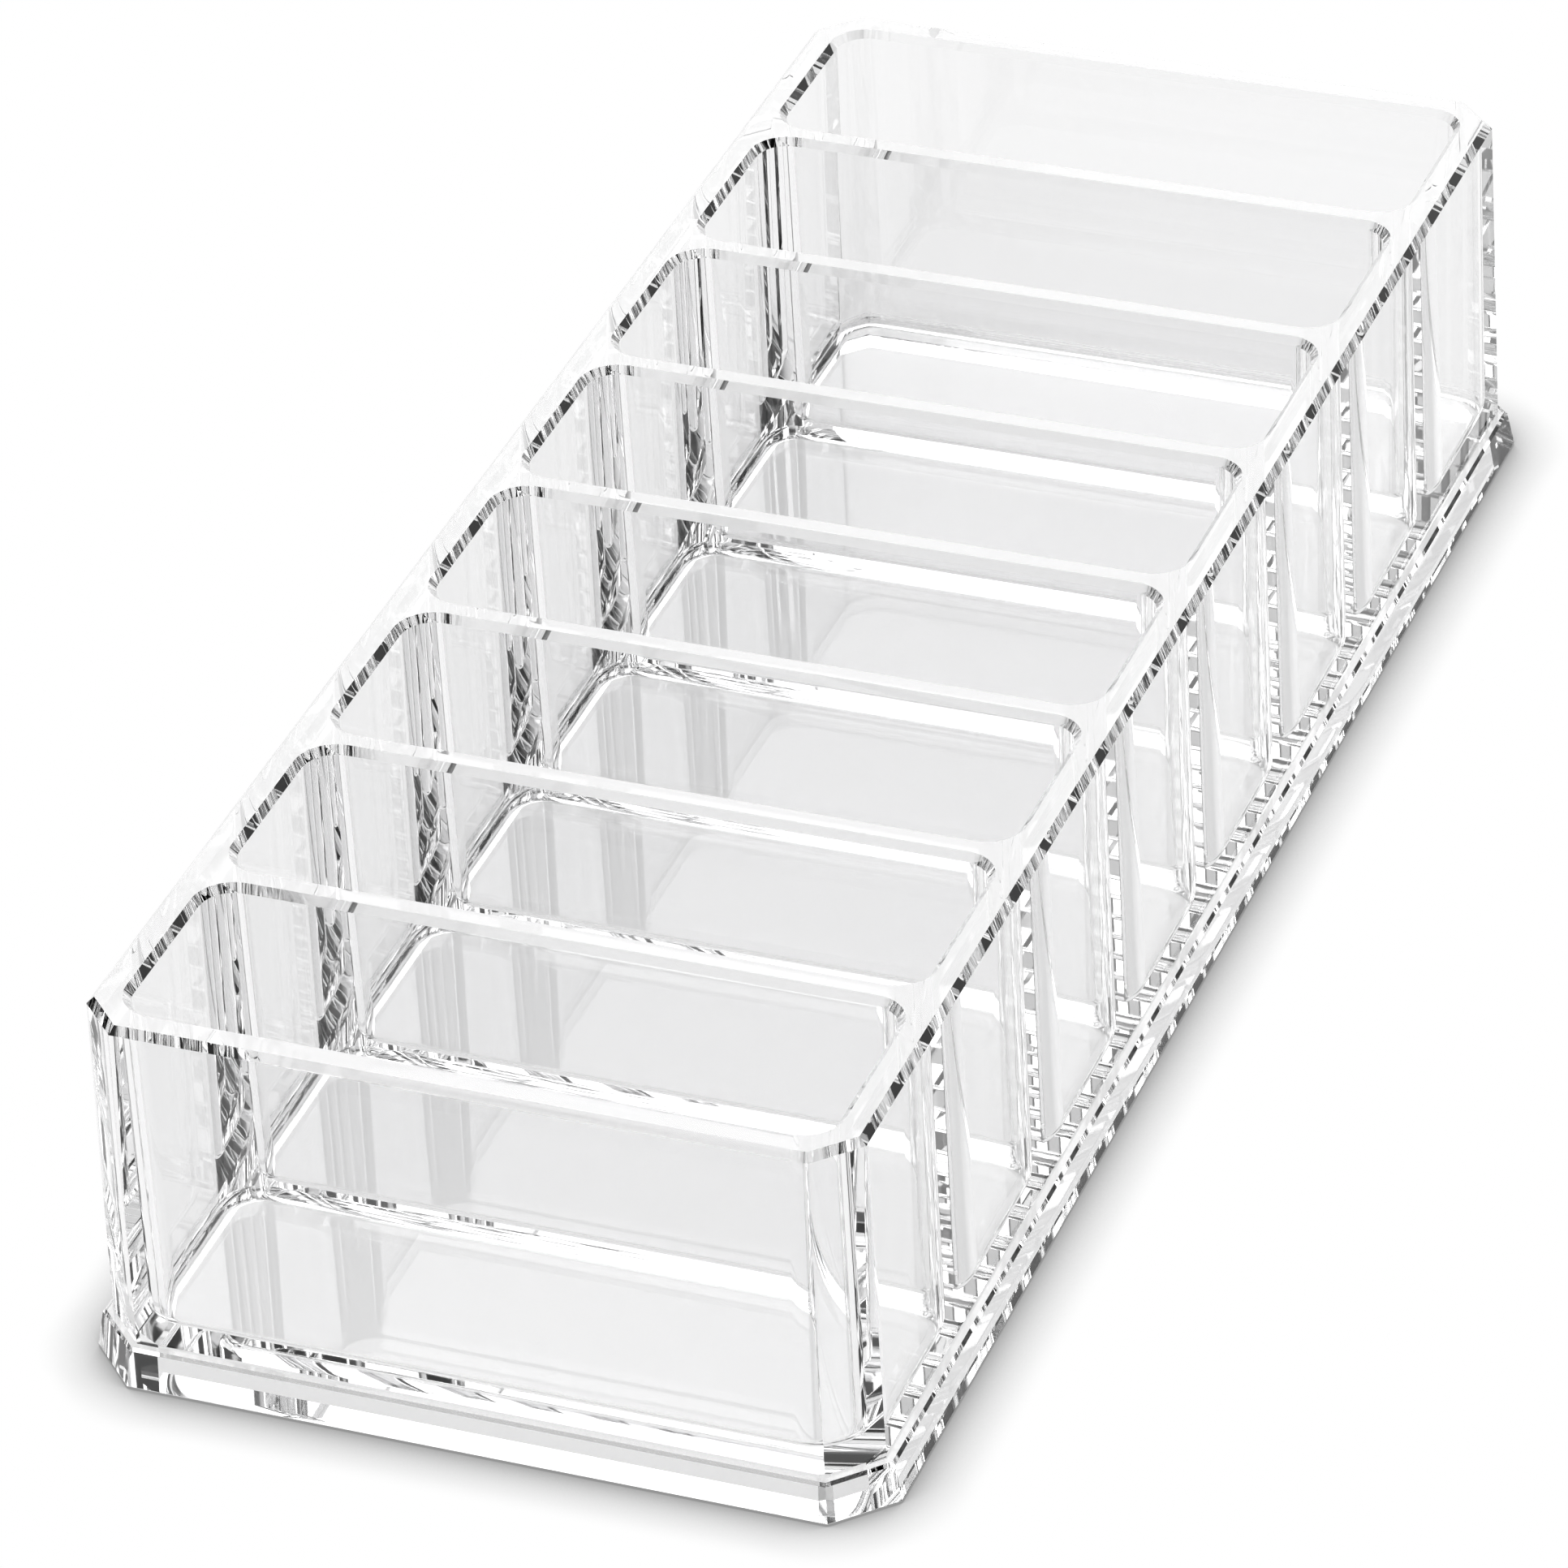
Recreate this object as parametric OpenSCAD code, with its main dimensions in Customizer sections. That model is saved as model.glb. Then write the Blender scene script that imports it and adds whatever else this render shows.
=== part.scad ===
// Clear vanity organizer: a long tray of equal compartments that seats in a low base plate. Both
// are hollow underneath, so that it stands on a rim under its walls.
// Z is up, X runs across the tray and Y along it, with compartment 1 at the -Y end.
// The origin is the middle of the underside, in the plane of that rim.

/* [Tray] */
// Width over the side walls, just under the rim's bevel
tray_w = 90; // [70:1:130]
// Length over the end walls, just under the rim's bevel
tray_l = 235; // [200:1:300]
// Height of the rim above the surface that the organizer stands on
total_h = 47; // [35:1:80]
// Thickness of the outer walls
wall_t = 4.2; // [3:0.1:6]
// How far each outer wall leans out on its way down to the base
wall_lean = 0.6; // [0:0.1:1.5]
// Leg of the cut at each upright outer corner, just under the rim's bevel
wall_cut = 4.8; // [3:0.1:7]
// Width of the 45 degree bevels along the rim and the dividers
rim_bevel = 0.85; // [0.3:0.05:1.2]

/* [Compartments] */
// Number of compartments in the row
compartments = 8; // [4:1:9]
// Thickness of each divider
divider_t = 3.8; // [2.5:0.1:5]
// Height of the compartments' floor above the surface that the organizer stands on
floor_h = 6; // [5:0.1:8]
// Thickness of that floor, over the hollow underside
floor_t = 2.4; // [1.5:0.1:3]
// Radius where the walls and dividers run into the floor
foot_r = 1.4; // [0.6:0.1:2.5]
// Radius of each upright corner of a compartment
corner_r = 4; // [3:0.1:5]
// Radius of the same corner where it has run into the floor
floor_r = 4.4; // [3:0.1:5]

/* [Base] */
// Height of the base plate
base_h = 5; // [4:0.5:8]
// Width of the ledge that the base plate shows round the walls
ledge_w = 1.1; // [0.8:0.1:4]
// How far the sides of the base plate lean out on their way down
base_lean = 0.8; // [0:0.1:2]
// Width of the bevels along the upper and lower edges of the base plate
base_bevel = 0.35; // [0.1:0.05:0.6]
// Thickness of the base plate under the walls of the tray
base_t = 1.5; // [1:0.1:1.8]
// Thickness of the foot walls round the hollow underside
foot_wall_t = 3.7; // [2.5:0.1:4.5]

/* [Hidden] */
dividers = compartments - 1;

// How far a cutting shape runs past the face that it opens
overrun = 0.5;
// Flat faces in each rounded foot
foot_steps = 4;
// Flat faces between the straight sides in each rounded corner of a compartment
corner_steps = 3;
// Leg of a cut corner as a share of the radius of the round that touches the same three lines
cut_leg_share = 2 - sqrt(2);
// Tint of the clear plastic, which is all but colourless
clear_plastic = [0.91, 0.94, 0.95, 0.45];

// Corner radius of the tray that goes with its corner cuts
tray_r = wall_cut / cut_leg_share;
// How far the base plate stands out from the tray, just over the bevel of its lower edge
base_out = wall_lean + ledge_w + base_lean;
// How far the sides of the hollow underside lie inside the tray's outline
hollow_in = foot_wall_t - wall_lean;
// Space inside the walls, and its equal compartments
inner_w = tray_w - 2 * wall_t;
inner_l = tray_l - 2 * wall_t;
cell_l = (inner_l - dividers * divider_t) / compartments;
pitch = cell_l + divider_t;
// Top of the ridges between the rounded feet, on which the dividers stand
ridge_h = floor_h + foot_r;
// Height at which the bevels of the rim and the dividers begin
bevel_h = total_h - rim_bevel;
// Distance by which the straight sides of a compartment's space run into what lies beside it
cell_spare = rim_bevel + overrun;

// Station of a solid: its height, how far every side has moved out there, and its corner radius,
// which grows by as much
function station(height, out, radius) = [height, out, radius + out];

// Middle of a compartment and of a divider along the row
function cell_y(i) = (i - 1 - dividers / 2) * pitch;
function divider_y(i) = (i - compartments / 2) * pitch;

// Prism that runs both ways from the middle. Half of its section is a list of [half width, height]
// from the bottom up, and the other half mirrors it.
module swept_profile(half_section, reach, turn) {
    points = len(half_section);
    other_half = [for (i = [1:points]) [-half_section[points - i][0], half_section[points - i][1]]];
    rotate([90, 0, turn])
        linear_extrude(reach, center = true)
            polygon(concat(half_section, other_half));
}

// First corner of an outline, from its +X side to its +Y side, round a centre at [x, y]. Flat faces
// touch the round of that radius: one makes a cut. The spares move the two straight sides further out.
function corner(x, y, radius, flats, spare_x, spare_y) =
    let (turn = 90 / (flats + 1), reach = radius / cos(turn / 2))
    [
        for (k = [0:flats])
            let (
                along_x = k == 0 ? spare_x : k == flats ? -spare_y / tan(turn) : 0,
                along_y = k == flats ? spare_y : k == 0 ? -spare_x / tan(turn) : 0,
                angle = (k + 0.5) * turn
            )
            [x + reach * cos(angle) + along_x, y + reach * sin(angle) + along_y]
    ];

// Corners of a solid's outline at one station, counterclockwise from above
function outline(w, l, at, flats, spare_x, spare_y) =
    let (
        x = w / 2 + at[1] - at[2],
        y = l / 2 + at[1] - at[2],
        first = corner(x, y, at[2], flats, spare_x, spare_y)
    )
    [
        for (p = first) [p[0], p[1], at[0]],
        for (k = [flats:-1:0]) [-first[k][0], first[k][1], at[0]],
        for (p = first) [-p[0], -p[1], at[0]],
        for (k = [flats:-1:0]) [first[k][0], -first[k][1], at[0]]
    ];

// Solid through the outlines of its stations, with as many flat faces in every corner
module lofted_solid(w, l, stations, flats = 1, spare_x = 0, spare_y = 0) {
    rings = [for (at = stations) outline(w, l, at, flats, spare_x, spare_y)];
    sides = len(rings[0]);
    top = (len(rings) - 1) * sides;
    polyhedron(
        points = [for (r = rings) each r],
        faces = [
            [for (k = [0:sides - 1]) k],
            for (low = [0:sides:top - sides], k = [0:sides - 1])
                let (next = (k + 1) % sides, high = low + sides)
                    [low + k, high + k, high + next, low + next],
            [for (k = [sides - 1:-1:0]) top + k]
        ]
    );
}

// Space under the floor, which goes through the base plate and into the tray's foot
module hollow() {
    lofted_solid(tray_w, tray_l, [
        station(-overrun, -hollow_in, tray_r),
        station(floor_h - floor_t, -hollow_in, tray_r)
    ]);
}

// Low plate, open in the middle, with a recess that the foot of the tray fills
module base_plate() {
    color(clear_plastic)
        difference() {
            lofted_solid(tray_w, tray_l, [
                station(0, base_out - base_bevel, tray_r),
                station(base_bevel, base_out, tray_r),
                station(base_h - base_bevel, base_out - base_lean, tray_r),
                station(base_h, base_out - base_lean - base_bevel, tray_r)
            ]);
            lofted_solid(tray_w, tray_l, [
                station(base_t, wall_lean, tray_r),
                station(base_h + overrun, wall_lean, tray_r)
            ]);
            hollow();
        }
}

// Outer form of the tray, upright where the base plate holds it and leaning in above
module tray_outside() {
    lofted_solid(tray_w, tray_l, [
        station(base_t, wall_lean, tray_r),
        station(base_h, wall_lean, tray_r),
        station(bevel_h, 0, tray_r),
        station(total_h, -rim_bevel, tray_r)
    ]);
}

// Section of the space between two facing walls, over the ridges, with the rim's bevels at its mouth
function between_walls(size) = [
    [size / 2, ridge_h],
    [size / 2, bevel_h],
    [size / 2 + cell_spare, total_h + overrun]
];

module space_in_walls() {
    intersection() {
        swept_profile(between_walls(inner_w), tray_l, 0);
        swept_profile(between_walls(inner_l), tray_w, 90);
    }
}

// Space of one compartment between its rounded corners, over the ridges
module cell_space(i) {
    translate([0, cell_y(i), 0])
        lofted_solid(inner_w, cell_l, [
            station(ridge_h, 0, corner_r),
            station(bevel_h, 0, corner_r),
            station(total_h + overrun, cell_spare, corner_r)
        ], corner_steps, cell_spare, overrun);
}

// Mouth of a compartment as the bevels widen it, from below the bevels up
module cell_mouth(i) {
    translate([0, cell_y(i), 0])
        lofted_solid(inner_w, cell_l, [
            station(bevel_h - overrun, -overrun, corner_r),
            station(total_h + overrun, cell_spare, corner_r)
        ], corner_steps, cell_spare);
}

// Rounded foot of one compartment, from its flat floor up into the space above
module cell_foot(i) {
    rounding = [for (k = [0:foot_steps])
        let (turn = 90 * k / foot_steps, drawn_in_share = 1 - sin(turn))
        [
            floor_h + foot_r * (1 - cos(turn)),
            -foot_r * drawn_in_share,
            corner_r + (floor_r - corner_r) * drawn_in_share
        ]
    ];
    translate([0, cell_y(i), 0])
        lofted_solid(inner_w, cell_l,
            concat(rounding, [station(ridge_h + overrun, 0, corner_r)]), corner_steps);
}

// Place of one divider: between the side walls and the ribs of the rounded corners, from the ridge up
module divider_place(i, top) {
    translate([-inner_w / 2, divider_y(i) - divider_t / 2, ridge_h])
        cube([inner_w, divider_t, top - ridge_h]);
}

// Walls and floor in one piece, with a pair of ribs on each wall that round the corners at a divider
module tray_shell() {
    color(clear_plastic)
        difference() {
            tray_outside();
            intersection() {
                space_in_walls();
                union() {
                    for (i = [1:compartments]) cell_space(i);
                    for (i = [1:dividers]) divider_place(i, total_h + overrun);
                }
            }
            for (i = [1:compartments]) cell_foot(i);
            hollow();
        }
}

// Flat cross wall, flush with the rim and bevelled like it
module divider(i) {
    color(clear_plastic)
        difference() {
            divider_place(i, total_h);
            for (beside = [i, i + 1]) cell_mouth(beside);
        }
}

base_plate();
tray_shell();
for (i = [1:dividers])
    divider(i);
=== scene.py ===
"""Clear vanity organizer: a tray of equal compartments on a low base plate, in its studio.

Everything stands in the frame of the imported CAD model, in metres: Z up, X across the tray, Y along it.
The clear pieces are modelled in millimetres and scaled when they are done. They are cut out of one
moulded form, so they meet face to face and bend light as one body.
"""

import math
from types import SimpleNamespace

import bmesh
import bpy
from mathutils import Matrix, Vector


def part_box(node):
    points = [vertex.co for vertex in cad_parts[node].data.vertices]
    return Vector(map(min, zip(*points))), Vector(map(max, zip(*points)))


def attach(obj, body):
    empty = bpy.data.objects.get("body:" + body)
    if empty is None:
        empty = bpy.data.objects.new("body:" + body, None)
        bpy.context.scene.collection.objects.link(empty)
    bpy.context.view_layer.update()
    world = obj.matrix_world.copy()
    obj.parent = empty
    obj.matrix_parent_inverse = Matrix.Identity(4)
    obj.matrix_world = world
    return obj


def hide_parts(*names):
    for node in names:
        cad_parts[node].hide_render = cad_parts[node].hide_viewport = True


bl_info = {
    "name": "Clear Vanity Organizer",
    "version": (1, 0, 0),
    "blender": (4, 5, 0),
    "location": "View3D > Sidebar > Organizer",
    "description": "Models a clear compartment tray and its studio round the packed CAD frame",
    "category": "Add Mesh",
}

MM = 0.001
# In millimetres: how far a cutter runs past what it opens, how far the place of a bonded piece reaches past
# the faces that it shares, so that the two never lie in one plane, and how near two points are taken as one
OVER = 0.5
SPARE = 0.02
SAME_POINT = 0.002
# Flat strips in each rounded corner and foot, the angle in degrees over which an edge stays sharp, and the
# weight of large faces in smooth normals: 50 is by their area, and at 100 only the largest one counts
ROUND_STEPS = 10
SHARP_ANGLE = 25
LARGE_FACE_WEIGHT = 100
# How much the leg of a corner cut grows when every side and the cut itself move out by one
CUT_GROWTH = 2 - math.sqrt(2)
# Values of the soft noise at and beyond which the polish is at its best and at its dullest
NOISE_SPAN = (0.35, 0.65)
# Ambient occlusion of the floor at the foot of an upright wall, at and below which the shadow painted into
# the floor is darkest
PAINTED_SHADOW_AO_AT_WALL = 0.5
# In metres: half the side of the floor, how far it lies under the organizer, and the nearest and farthest
# that the camera sees
FLOOR_REACH = 3
FLOOR_DROP = 0.05 * MM
VIEW_DEPTH = (0.01, 20)
# In millimetres
SENSOR_WIDTH = 36
# How often light may be passed on, which has to be often in thick clear walls
BOUNCES = {
    "max_bounces": 48,
    "transmission_bounces": 32,
    "glossy_bounces": 16,
    "transparent_max_bounces": 64,
}
# Soft areas of light round the studio: azimuth and elevation of the middle, angle from there to the end of
# the bright core and to the outer edge, all in degrees, then strength, and how many times wider than high
SOFT_AREAS = {
    "overhead": (110, 82, 16, 36, 2.3, 1),
    "window": (111, 34, 14, 31, 2.9, 1),
    "side": (62, 24, 12, 28, 0.8, 1),
    "backdrop": (110, 0, 38, 64, 1.7, 3),
    "fill": (247, 42, 14, 36, 0.6, 1),
}

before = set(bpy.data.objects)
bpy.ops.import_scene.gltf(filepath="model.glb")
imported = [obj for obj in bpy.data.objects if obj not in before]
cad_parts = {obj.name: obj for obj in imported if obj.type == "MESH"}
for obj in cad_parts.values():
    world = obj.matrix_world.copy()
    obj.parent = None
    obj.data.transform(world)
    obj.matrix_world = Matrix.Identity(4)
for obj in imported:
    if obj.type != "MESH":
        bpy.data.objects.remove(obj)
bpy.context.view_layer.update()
DIVIDERS = sorted(
    (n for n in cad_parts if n.startswith("divider_")), key=lambda n: int(n.split("_")[1])
)
BASE_LOW, BASE_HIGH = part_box("base_plate")
TRAY_LOW, TRAY_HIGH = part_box("tray_shell")
DIVIDER_LOW, DIVIDER_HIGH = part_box(DIVIDERS[0])


class TraySizes(bpy.types.PropertyGroup):
    """Sizes of the moulded form that the CAD boxes don't give"""

    wall: bpy.props.FloatProperty(
        name="Wall", description="Thickness of the outer walls", default=4.2 * MM, unit="LENGTH"
    )
    lean: bpy.props.FloatProperty(
        name="Lean", description="How far the walls lean out on their way down",
        default=0.6 * MM, unit="LENGTH",
    )
    outer_cut: bpy.props.FloatProperty(
        name="Outer cut", description="Leg of the cut at each upright outer corner",
        default=4.8 * MM, unit="LENGTH",
    )
    rim_corner: bpy.props.FloatProperty(
        name="Corner at rim", description="Radius of a compartment's corners at the rim",
        default=3.8 * MM, unit="LENGTH",
    )
    floor_corner: bpy.props.FloatProperty(
        name="Corner at floor", description="Radius of the same corners at the floor",
        default=4.6 * MM, unit="LENGTH",
    )
    rim_bevel: bpy.props.FloatProperty(
        name="Rim bevel", description="Width of the bevels along the rim and dividers",
        default=0.85 * MM, unit="LENGTH",
    )
    floor: bpy.props.FloatProperty(
        name="Floor", description="Height of the compartments' floor", default=6.0 * MM, unit="LENGTH"
    )
    floor_thick: bpy.props.FloatProperty(
        name="Floor thickness", description="Thickness of that floor, over the hollow underside",
        default=2.4 * MM, unit="LENGTH",
    )
    foot_wall: bpy.props.FloatProperty(
        name="Foot wall", description="Thickness of the walls round the hollow underside",
        default=3.7 * MM, unit="LENGTH",
    )
    foot: bpy.props.FloatProperty(
        name="Foot radius", description="Radius where the walls run into the floor",
        default=1.4 * MM, unit="LENGTH",
    )
    base_lean: bpy.props.FloatProperty(
        name="Base lean", description="How far the base plate's sides lean out on their way down",
        default=0.8 * MM, unit="LENGTH",
    )
    base_bevel: bpy.props.FloatProperty(
        name="Base bevel", description="Width of the bevels on the base plate",
        default=0.35 * MM, unit="LENGTH",
    )


class PlasticLook(bpy.types.PropertyGroup):
    """Finish of the clear plastic"""

    tint: bpy.props.FloatVectorProperty(
        name="Tint", description="Colour that light takes on its way through a wall", subtype="COLOR",
        size=3, min=0, max=1, default=(0.93, 0.93, 0.932),
    )
    bending: bpy.props.FloatProperty(
        name="Refractive index", description="How strongly the plastic bends light",
        default=1.49, min=1, max=2,
    )
    ripple: bpy.props.FloatProperty(
        name="Ripple", description="Height of the slow waves that moulding leaves",
        default=0.003 * MM, unit="LENGTH",
    )
    ripple_size: bpy.props.FloatProperty(
        name="Ripple size", description="Width of those waves", default=9 * MM, unit="LENGTH"
    )
    polish: bpy.props.FloatVectorProperty(
        name="Polish", description="Roughness of the best and of the dullest patches",
        size=2, min=0, max=1, default=(0.0, 0.02),
    )
    patch_size: bpy.props.FloatProperty(
        name="Patch size", description="Width of the patches of better and duller polish",
        default=14 * MM, unit="LENGTH",
    )


class StudioLook(bpy.types.PropertyGroup):
    """Floor, light and camera"""

    room_light: bpy.props.FloatProperty(
        name="Room light", description="Brightness of the studio away from its soft areas",
        default=0.04, min=0,
    )
    # Painted shadow: the floor that the camera sees is a glow that ambient occlusion darkens near the
    # organizer, not a shadow cast by the lights
    floor_with_painted_shadow: bpy.props.FloatVectorProperty(
        name="Floor", description="Brightness of the floor where it meets the organizer and away from it",
        size=2, min=0, max=1, default=(0.3, 1.0),
    )
    painted_shadow_reach: bpy.props.FloatProperty(
        name="Contact shadow", description="How far from the organizer the floor is darker",
        default=7.5 * MM, unit="LENGTH",
    )
    floor_glow: bpy.props.FloatProperty(
        name="Floor glow", description="Light that the floor gives of itself to the clear plastic",
        default=0.72, min=0, max=1,
    )
    floor_scatter: bpy.props.FloatProperty(
        name="Floor scatter", description="Share of the studio's light that the floor adds to that",
        default=0.3, min=0, max=1,
    )
    camera_place: bpy.props.FloatVectorProperty(
        name="Camera place", description="Where the camera stands", subtype="TRANSLATION", unit="LENGTH",
        size=3, default=(0.330388, -0.822719, 0.598145),
    )
    camera_target: bpy.props.FloatVectorProperty(
        name="Camera target", description="Point at the middle of the picture", subtype="TRANSLATION",
        unit="LENGTH", size=3, default=(-0.002652, -0.014197, 0.02),
    )
    camera_roll: bpy.props.FloatProperty(
        name="Camera roll", description="Turn of the camera about its own axis", subtype="ANGLE",
        unit="ROTATION", default=math.radians(-3.1633),
    )
    focal_length: bpy.props.FloatProperty(
        name="Focal length", description="In millimetres, on a sensor 36 mm wide", default=206.178, min=10
    )


def plan_size(low, high):
    """Width and length of a box in millimetres."""
    return (high.x - low.x) / MM, (high.y - low.y) / MM


def form_sizes(context):
    """Sizes in millimetres of the moulded form, with those that the frame gives."""
    group = context.scene.organizer_tray
    s = SimpleNamespace(**{name: getattr(group, name) / MM for name in TraySizes.__annotations__})
    s.base_w, s.base_l = plan_size(BASE_LOW, BASE_HIGH)
    s.foot_w, s.foot_l = plan_size(TRAY_LOW, TRAY_HIGH)
    s.inner_w, s.divider = plan_size(DIVIDER_LOW, DIVIDER_HIGH)
    s.base_h, s.recess, s.top = BASE_HIGH.z / MM, TRAY_LOW.z / MM, TRAY_HIGH.z / MM
    s.cells = len(DIVIDERS) + 1
    inner_l = s.foot_l - 2 * (s.lean + s.wall)
    s.cell_l = (inner_l - len(DIVIDERS) * s.divider) / s.cells
    s.foot_cut = moved_cut(s.outer_cut, s.lean)
    s.base_cut = moved_cut(s.foot_cut, (s.base_w - s.foot_w) / 2)
    return s


def outline_face(bm, width, length, leg, height, segments=1):
    """Starts a solid with a flat face, centred on the Z axis, whose corners are cut or rounded."""
    corners = bmesh.ops.create_grid(bm, x_segments=1, y_segments=1, size=0.5)["verts"]
    bmesh.ops.scale(bm, vec=(width, length, 1), verts=corners)
    bmesh.ops.translate(bm, vec=(0, 0, height), verts=corners)
    bmesh.ops.bevel(
        bm, geom=corners, offset=leg, offset_type="OFFSET", affect="VERTICES",
        segments=segments, profile=0.5, material=-1, clamp_overlap=False,
    )
    bm.faces.ensure_lookup_table()
    return bm.faces[0]


def step(bm, face, inward, rise):
    """Carries a face on to the next height, with its sides moved inward, and returns it."""
    if inward:
        bmesh.ops.inset_region(bm, faces=[face], thickness=inward, use_boundary=True, use_even_offset=True)
        bmesh.ops.translate(bm, vec=(0, 0, rise), verts=face.verts)
        return face
    made = bmesh.ops.extrude_face_region(bm, geom=[face])["geom"]
    bmesh.ops.delete(bm, geom=[face], context="FACES_ONLY")
    bmesh.ops.translate(bm, vec=(0, 0, rise), verts=[v for v in made if isinstance(v, bmesh.types.BMVert)])
    return next(f for f in made if isinstance(f, bmesh.types.BMFace))


def taper(bm, face, old, new, rise):
    """Carries a rounded face on to the next height and gives it a new width, length and corner radius."""
    face = step(bm, face, 0, rise)
    for vert in face.verts:
        for axis in (0, 1):
            side = math.copysign(1, vert.co[axis])
            along_arc = (vert.co[axis] - side * (old[axis] / 2 - old[2])) / old[2]
            vert.co[axis] = side * (new[axis] / 2 - new[2]) + new[2] * along_arc
    return face


def cap(bm):
    """Closes the open loop that a solid started from and returns the new face."""
    loop = [e for e in bm.edges if e.is_boundary]
    return bmesh.ops.contextual_create(bm, geom=loop)["faces"][0]


def moved_cut(leg, out):
    """Leg of a corner cut once every side has moved out, so that the cut face moves out as far."""
    return leg + out * CUT_GROWTH


def finished_mesh(bm, name):
    """Object made of a bmesh whose faces point outward."""
    bmesh.ops.recalc_face_normals(bm, faces=bm.faces)
    mesh = bpy.data.meshes.new(name)
    bm.to_mesh(mesh)
    bm.free()
    made = bpy.data.objects.new(name, mesh)
    bpy.context.scene.collection.objects.link(made)
    return made


def boolean(target, operation, tool):
    """Applies a Boolean to an object's own mesh and takes out the object that it was done with."""
    change = target.modifiers.new(operation, "BOOLEAN")
    change.operation, change.object, change.solver = operation, tool, "MANIFOLD"
    change.material_mode = "TRANSFER"
    apply_modifiers(target)
    remove(tool)


def apply_modifiers(made):
    """Gives an object the mesh that its modifiers make."""
    mesh = bpy.data.meshes.new_from_object(made.evaluated_get(bpy.context.evaluated_depsgraph_get()))
    made.modifiers.clear()
    old, made.data = made.data, mesh
    bpy.data.meshes.remove(old)


def remove(made):
    """Takes out an object that only helped to shape others."""
    mesh = made.data
    bpy.data.objects.remove(made)
    bpy.data.meshes.remove(mesh)


def new_nodes(tree, *kinds):
    """New shader nodes of the given kinds, in the same order."""
    return [tree.nodes.new("ShaderNode" + kind) for kind in kinds]


def soft_noise(tree, place, width):
    """Socket with soft random values, from 0 to 1, in patches of one width."""
    noise = tree.nodes.new("ShaderNodeTexNoise")
    noise.inputs["Scale"].default_value = 1 / width
    noise.inputs["Detail"].default_value = 1
    tree.links.new(place, noise.inputs["Vector"])
    return noise.outputs["Fac"]


def clear_plastic():
    """Clear moulded plastic with slow waves and slightly uneven polish in its faces."""
    look = bpy.context.scene.organizer_plastic
    material = bpy.data.materials.get("moulded_clear")
    if material:
        return material
    material = bpy.data.materials.new("moulded_clear")
    material.use_nodes = True
    tree = material.node_tree
    shader = tree.nodes["Principled BSDF"]
    shader.inputs["Base Color"].default_value = (*look.tint, 1)
    shader.inputs["IOR"].default_value = look.bending
    shader.inputs["Transmission Weight"].default_value = 1
    place = tree.nodes.new("ShaderNodeTexCoord").outputs["Object"]
    polish, waves = new_nodes(tree, "MapRange", "Bump")
    polish.inputs["From Min"].default_value, polish.inputs["From Max"].default_value = NOISE_SPAN
    polish.inputs["To Min"].default_value, polish.inputs["To Max"].default_value = look.polish
    waves.inputs["Distance"].default_value = look.ripple
    tree.links.new(soft_noise(tree, place, look.patch_size), polish.inputs["Value"])
    tree.links.new(soft_noise(tree, place, look.ripple_size), waves.inputs["Height"])
    tree.links.new(polish.outputs["Result"], shader.inputs["Roughness"])
    tree.links.new(waves.outputs["Normal"], shader.inputs["Normal"])
    return material


def bonded_joint():
    """Face inside the plastic, where two pieces are bonded and light passes unbent."""
    material = bpy.data.materials.get("bonded_joint")
    if material:
        return material
    material = bpy.data.materials.new("bonded_joint")
    material.use_nodes = True
    material.node_tree.nodes["Principled BSDF"].inputs["Alpha"].default_value = 0
    return material


def moulded_form(s):
    """The whole organizer as one form: base plate, walls and dividers, less compartments and hollow."""
    ledge = (s.base_w - s.foot_w) / 2 - s.base_lean - s.base_bevel
    bm = bmesh.new()
    face = outline_face(bm, s.base_w, s.base_l, s.base_cut, s.base_bevel)
    face = step(bm, face, s.base_lean, s.base_h - 2 * s.base_bevel)
    face = step(bm, face, s.base_bevel, s.base_bevel)
    face = step(bm, face, ledge, 0)
    face = step(bm, face, s.lean, s.top - s.rim_bevel - s.base_h)
    step(bm, face, s.rim_bevel, s.rim_bevel)
    step(bm, cap(bm), s.base_bevel, -s.base_bevel)
    form = finished_mesh(bm, "form")

    bm = bmesh.new()
    hollow_w, hollow_l = s.foot_w - 2 * s.foot_wall, s.foot_l - 2 * s.foot_wall
    face = outline_face(bm, hollow_w, hollow_l, moved_cut(s.foot_cut, -s.foot_wall), -OVER)
    step(bm, face, 0, s.floor - s.floor_thick + OVER)
    cap(bm)
    for i in range(s.cells):
        cell = space_of_a_cell(s)
        place = (i - (s.cells - 1) / 2) * (s.cell_l + s.divider)
        cell.transform(Matrix.Translation((0, place, 0)))
        bm.from_mesh(cell)
        bpy.data.meshes.remove(cell)
    boolean(form, "DIFFERENCE", finished_mesh(bm, "spaces"))
    form.data.materials.clear()
    form.data.materials.append(clear_plastic())
    return form


def space_of_a_cell(s):
    """Mesh of the space in one compartment, flared at its mouth and rounded where it meets the floor."""
    flare = s.rim_bevel + OVER
    mouth = (s.inner_w + 2 * flare, s.cell_l + 2 * flare, s.rim_corner + flare)
    below_rim = (s.inner_w, s.cell_l, s.rim_corner)
    at_floor = (s.inner_w, s.cell_l, s.floor_corner)
    bm = bmesh.new()
    face = outline_face(bm, *mouth, s.top + OVER, segments=ROUND_STEPS)
    face = taper(bm, face, mouth, below_rim, -flare)
    face = taper(bm, face, below_rim, at_floor, s.floor - (s.top - s.rim_bevel))
    cap(bm)
    bmesh.ops.bevel(
        bm, geom=list(face.edges), offset=s.foot, offset_type="OFFSET", affect="EDGES",
        segments=ROUND_STEPS, profile=0.5, material=-1,
    )
    mesh = bpy.data.meshes.new("cell")
    bm.to_mesh(mesh)
    bm.free()
    return mesh


def cutter(bm):
    """Cutter that leaves its cut faces as bonded joints."""
    made = finished_mesh(bm, "cutter")
    made.data.materials.append(bonded_joint())
    return made


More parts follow.
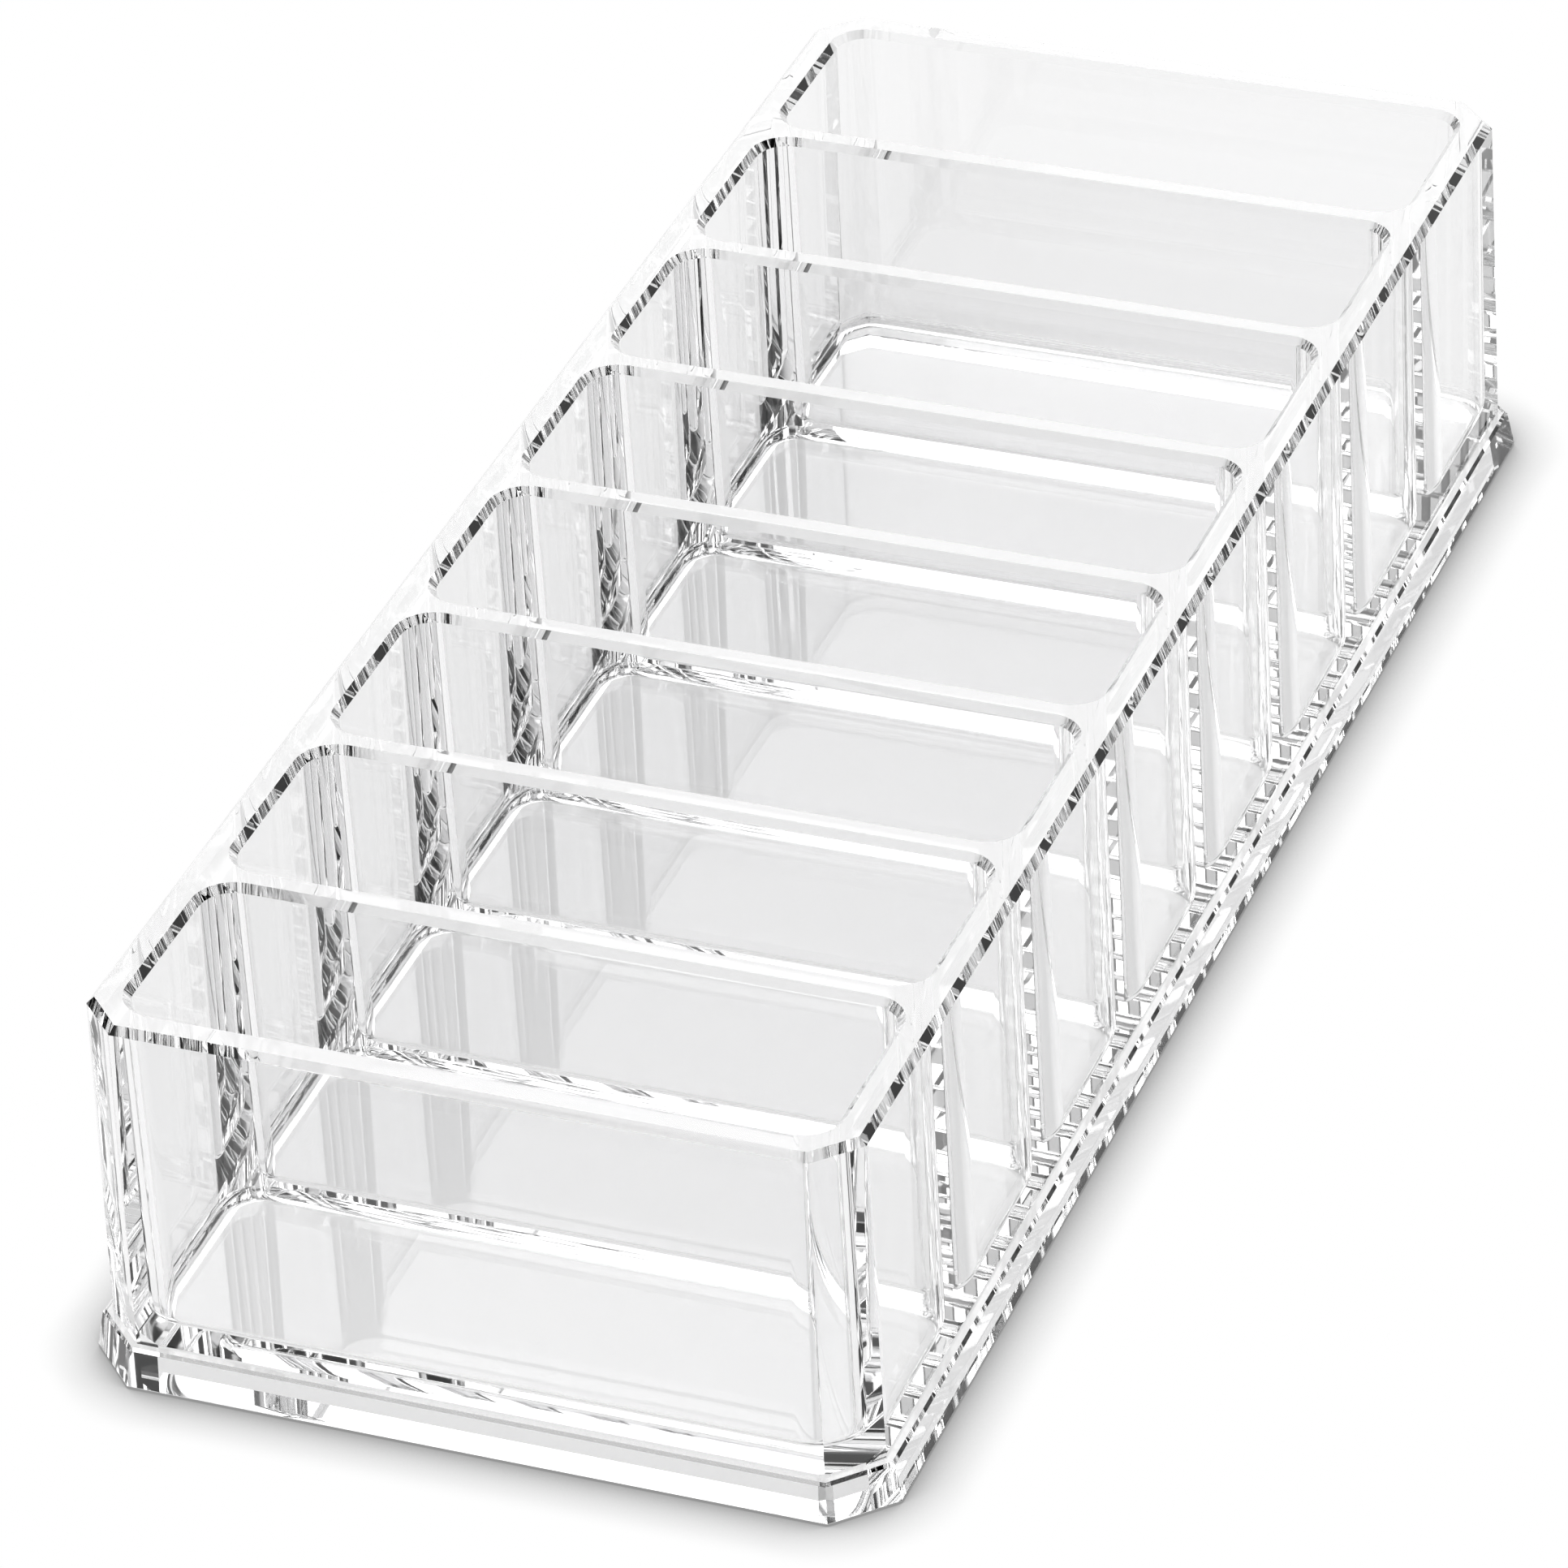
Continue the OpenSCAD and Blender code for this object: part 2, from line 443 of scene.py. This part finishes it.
def divider_place(name):
    """Cutter round one divider, which reaches just past the faces that it shares."""
    spare = Vector((SPARE, SPARE, SPARE))
    low, high = (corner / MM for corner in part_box(name))
    high.z += OVER
    low, high = low - spare, high + spare
    bm = bmesh.new()
    verts = bmesh.ops.create_cube(bm, size=1)["verts"]
    bmesh.ops.scale(bm, vec=high - low, verts=verts)
    bmesh.ops.translate(bm, vec=(high + low) / 2, verts=verts)
    return cutter(bm)


def tray_place(s):
    """Cutter round the tray, from the floor of the base plate's recess up."""
    bm = bmesh.new()
    width, length = s.foot_w + 2 * SPARE, s.foot_l + 2 * SPARE
    face = outline_face(bm, width, length, moved_cut(s.foot_cut, SPARE), s.recess)
    step(bm, face, 0, s.top)
    cap(bm)
    return cutter(bm)


def deliver(piece, name):
    """Gives a piece clean normals and its true size, and puts it in the place of its CAD node."""
    piece.name = name + "_clear"
    piece.data.shade_smooth()
    piece.data.set_sharp_from_angle(angle=math.radians(SHARP_ANGLE))
    weld = piece.modifiers.new("close_corners", "WELD")
    weld.merge_threshold = SAME_POINT
    flat = piece.modifiers.new("flat_faces_stay_flat", "WEIGHTED_NORMAL")
    flat.keep_sharp, flat.weight = True, LARGE_FACE_WEIGHT
    apply_modifiers(piece)
    piece.data.transform(Matrix.Scale(MM, 4))
    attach(piece, "root")
    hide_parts(name)


class ORGANIZER_OT_dividers(bpy.types.Operator):
    """Models the dividers, each a plate between the ribs that round its corners"""

    bl_idname = "organizer.dividers"
    bl_label = "Dividers"

    def execute(self, context):
        form = moulded_form(form_sizes(context))
        for name in DIVIDERS:
            piece = form.copy()
            piece.data = form.data.copy()
            context.scene.collection.objects.link(piece)
            boolean(piece, "INTERSECT", divider_place(name))
            deliver(piece, name)
        remove(form)
        return {"FINISHED"}


class ORGANIZER_OT_tray_shell(bpy.types.Operator):
    """Models the walls and the floor of the tray in one piece"""

    bl_idname = "organizer.tray_shell"
    bl_label = "Tray shell"

    def execute(self, context):
        s = form_sizes(context)
        piece = moulded_form(s)
        boolean(piece, "INTERSECT", tray_place(s))
        for name in DIVIDERS:
            boolean(piece, "DIFFERENCE", divider_place(name))
        deliver(piece, "tray_shell")
        return {"FINISHED"}


class ORGANIZER_OT_base_plate(bpy.types.Operator):
    """Models the low plate that the tray seats in"""

    bl_idname = "organizer.base_plate"
    bl_label = "Base plate"

    def execute(self, context):
        s = form_sizes(context)
        piece = moulded_form(s)
        boolean(piece, "DIFFERENCE", tray_place(s))
        deliver(piece, "base_plate")
        return {"FINISHED"}


def white_floor(look):
    """White floor, as white through the clear plastic. To the camera it is a glow with a shadow painted
    round the organizer by ambient occlusion; through the plastic its diffuse part has the shadow that the
    lights cast.
    """
    material = bpy.data.materials.new("floor_white")
    material.use_nodes = True
    tree = material.node_tree
    tree.nodes.remove(tree.nodes["Principled BSDF"])
    matt, glow, through = new_nodes(tree, "BsdfDiffuse", "Emission", "AddShader")
    nearness, fade, painted_shadow_glow = new_nodes(tree, "AmbientOcclusion", "MapRange", "Emission")
    path, choice = new_nodes(tree, "LightPath", "MixShader")
    matt.inputs["Color"].default_value = (look.floor_scatter, look.floor_scatter, look.floor_scatter, 1)
    glow.inputs["Strength"].default_value = look.floor_glow
    # Painted shadow: within this reach the ambient occlusion darkens the glow that the camera sees, from
    # the far brightness down to the brightness at the wall
    nearness.inputs["Distance"].default_value = look.painted_shadow_reach
    fade.inputs["From Min"].default_value = PAINTED_SHADOW_AO_AT_WALL
    fade.inputs["To Min"].default_value, fade.inputs["To Max"].default_value = look.floor_with_painted_shadow
    tree.links.new(matt.outputs[0], through.inputs[0])
    tree.links.new(glow.outputs[0], through.inputs[1])
    tree.links.new(nearness.outputs["AO"], fade.inputs["Value"])
    tree.links.new(fade.outputs["Result"], painted_shadow_glow.inputs["Strength"])
    tree.links.new(path.outputs["Is Camera Ray"], choice.inputs["Fac"])
    tree.links.new(through.outputs[0], choice.inputs[1])
    tree.links.new(painted_shadow_glow.outputs[0], choice.inputs[2])
    tree.links.new(choice.outputs[0], tree.nodes["Material Output"].inputs["Surface"])
    return material


def soft_area(tree, towards, azimuth, elevation, core, edge, strength, flatness):
    """Socket with the brightness that one soft area of light gives to each direction."""
    azimuth, elevation, core, edge = (math.radians(angle) for angle in (azimuth, elevation, core, edge))
    flatten, unit, aim, fade = new_nodes(tree, "VectorMath", "VectorMath", "VectorMath", "MapRange")
    flatten.operation, unit.operation, aim.operation = "MULTIPLY", "NORMALIZE", "DOT_PRODUCT"
    flatten.inputs[1].default_value = (1, 1, flatness)
    aim.inputs[1].default_value = (
        math.cos(azimuth) * math.cos(elevation),
        math.sin(azimuth) * math.cos(elevation),
        math.sin(elevation),
    )
    fade.interpolation_type = "SMOOTHSTEP"
    fade.inputs["From Min"].default_value = math.cos(edge)
    fade.inputs["From Max"].default_value = math.cos(core)
    fade.inputs["To Max"].default_value = strength
    tree.links.new(towards, flatten.inputs[0])
    tree.links.new(flatten.outputs[0], unit.inputs[0])
    tree.links.new(unit.outputs[0], aim.inputs[0])
    tree.links.new(aim.outputs["Value"], fade.inputs["Value"])
    return fade.outputs["Result"]


def studio_light(look):
    """World of a dim room with large soft areas of light."""
    world = bpy.data.worlds.new("studio")
    world.use_nodes = True
    tree = world.node_tree
    towards = tree.nodes.new("ShaderNodeTexCoord").outputs["Generated"]
    total = None
    for name, area in SOFT_AREAS.items():
        add = tree.nodes.new("ShaderNodeMath")
        add.label = name
        tree.links.new(soft_area(tree, towards, *area), add.inputs[0])
        if total is None:
            add.inputs[1].default_value = look.room_light
        else:
            tree.links.new(total, add.inputs[1])
        total = add.outputs[0]
    background = tree.nodes["Background"]
    background.inputs["Color"].default_value = (1, 1, 1, 1)
    tree.links.new(total, background.inputs["Strength"])
    return world


class ORGANIZER_OT_studio(bpy.types.Operator):
    """Sets the floor, the light and the camera"""

    bl_idname = "organizer.studio"
    bl_label = "Studio"

    def execute(self, context):
        scene, look = context.scene, context.scene.organizer_studio
        bm = bmesh.new()
        bmesh.ops.create_grid(bm, x_segments=1, y_segments=1, size=FLOOR_REACH)
        bmesh.ops.translate(bm, vec=(0, 0, -FLOOR_DROP), verts=bm.verts)
        floor = finished_mesh(bm, "studio_floor")
        floor.data.materials.append(white_floor(look))
        scene.world = studio_light(look)

        data = bpy.data.cameras.new("camera")
        camera = bpy.data.objects.new("camera", data)
        scene.collection.objects.link(camera)
        place, target = Vector(look.camera_place), Vector(look.camera_target)
        turn = (place - target).to_track_quat("Z", "Y").to_matrix().to_4x4()
        camera.matrix_world = Matrix.Translation(place) @ turn @ Matrix.Rotation(look.camera_roll, 4, "Z")
        data.sensor_width, data.lens = SENSOR_WIDTH, look.focal_length
        data.clip_start, data.clip_end = VIEW_DEPTH
        scene.camera = camera
        scene.view_settings.view_transform = "Standard"
        for name, times in BOUNCES.items():
            setattr(scene.cycles, name, times)
        return {"FINISHED"}


class ORGANIZER_PT_sidebar(bpy.types.Panel):
    """Lists the steps that build the organizer and its studio"""

    bl_idname = "ORGANIZER_PT_sidebar"
    bl_label = "Organizer"
    bl_space_type = "VIEW_3D"
    bl_region_type = "UI"
    bl_category = "Organizer"

    def draw(self, context):
        for group_name, kind in GROUPS.items():
            column = self.layout.column()
            for name in kind.__annotations__:
                column.prop(getattr(context.scene, group_name), name)
        for step_class in STEPS:
            self.layout.operator(step_class.bl_idname)


GROUPS = {
    "organizer_tray": TraySizes,
    "organizer_plastic": PlasticLook,
    "organizer_studio": StudioLook,
}
STEPS = (ORGANIZER_OT_dividers, ORGANIZER_OT_tray_shell, ORGANIZER_OT_base_plate, ORGANIZER_OT_studio)


def register():
    for kind in (*GROUPS.values(), *STEPS, ORGANIZER_PT_sidebar):
        bpy.utils.register_class(kind)
    for name, kind in GROUPS.items():
        setattr(bpy.types.Scene, name, bpy.props.PointerProperty(type=kind))


def unregister():
    for name in GROUPS:
        delattr(bpy.types.Scene, name)
    for kind in reversed((*GROUPS.values(), *STEPS, ORGANIZER_PT_sidebar)):
        bpy.utils.unregister_class(kind)


def main():
    register()
    bpy.ops.organizer.dividers()
    bpy.ops.organizer.tray_shell()
    bpy.ops.organizer.base_plate()
    bpy.ops.organizer.studio()


if __name__ == "__main__":
    main()
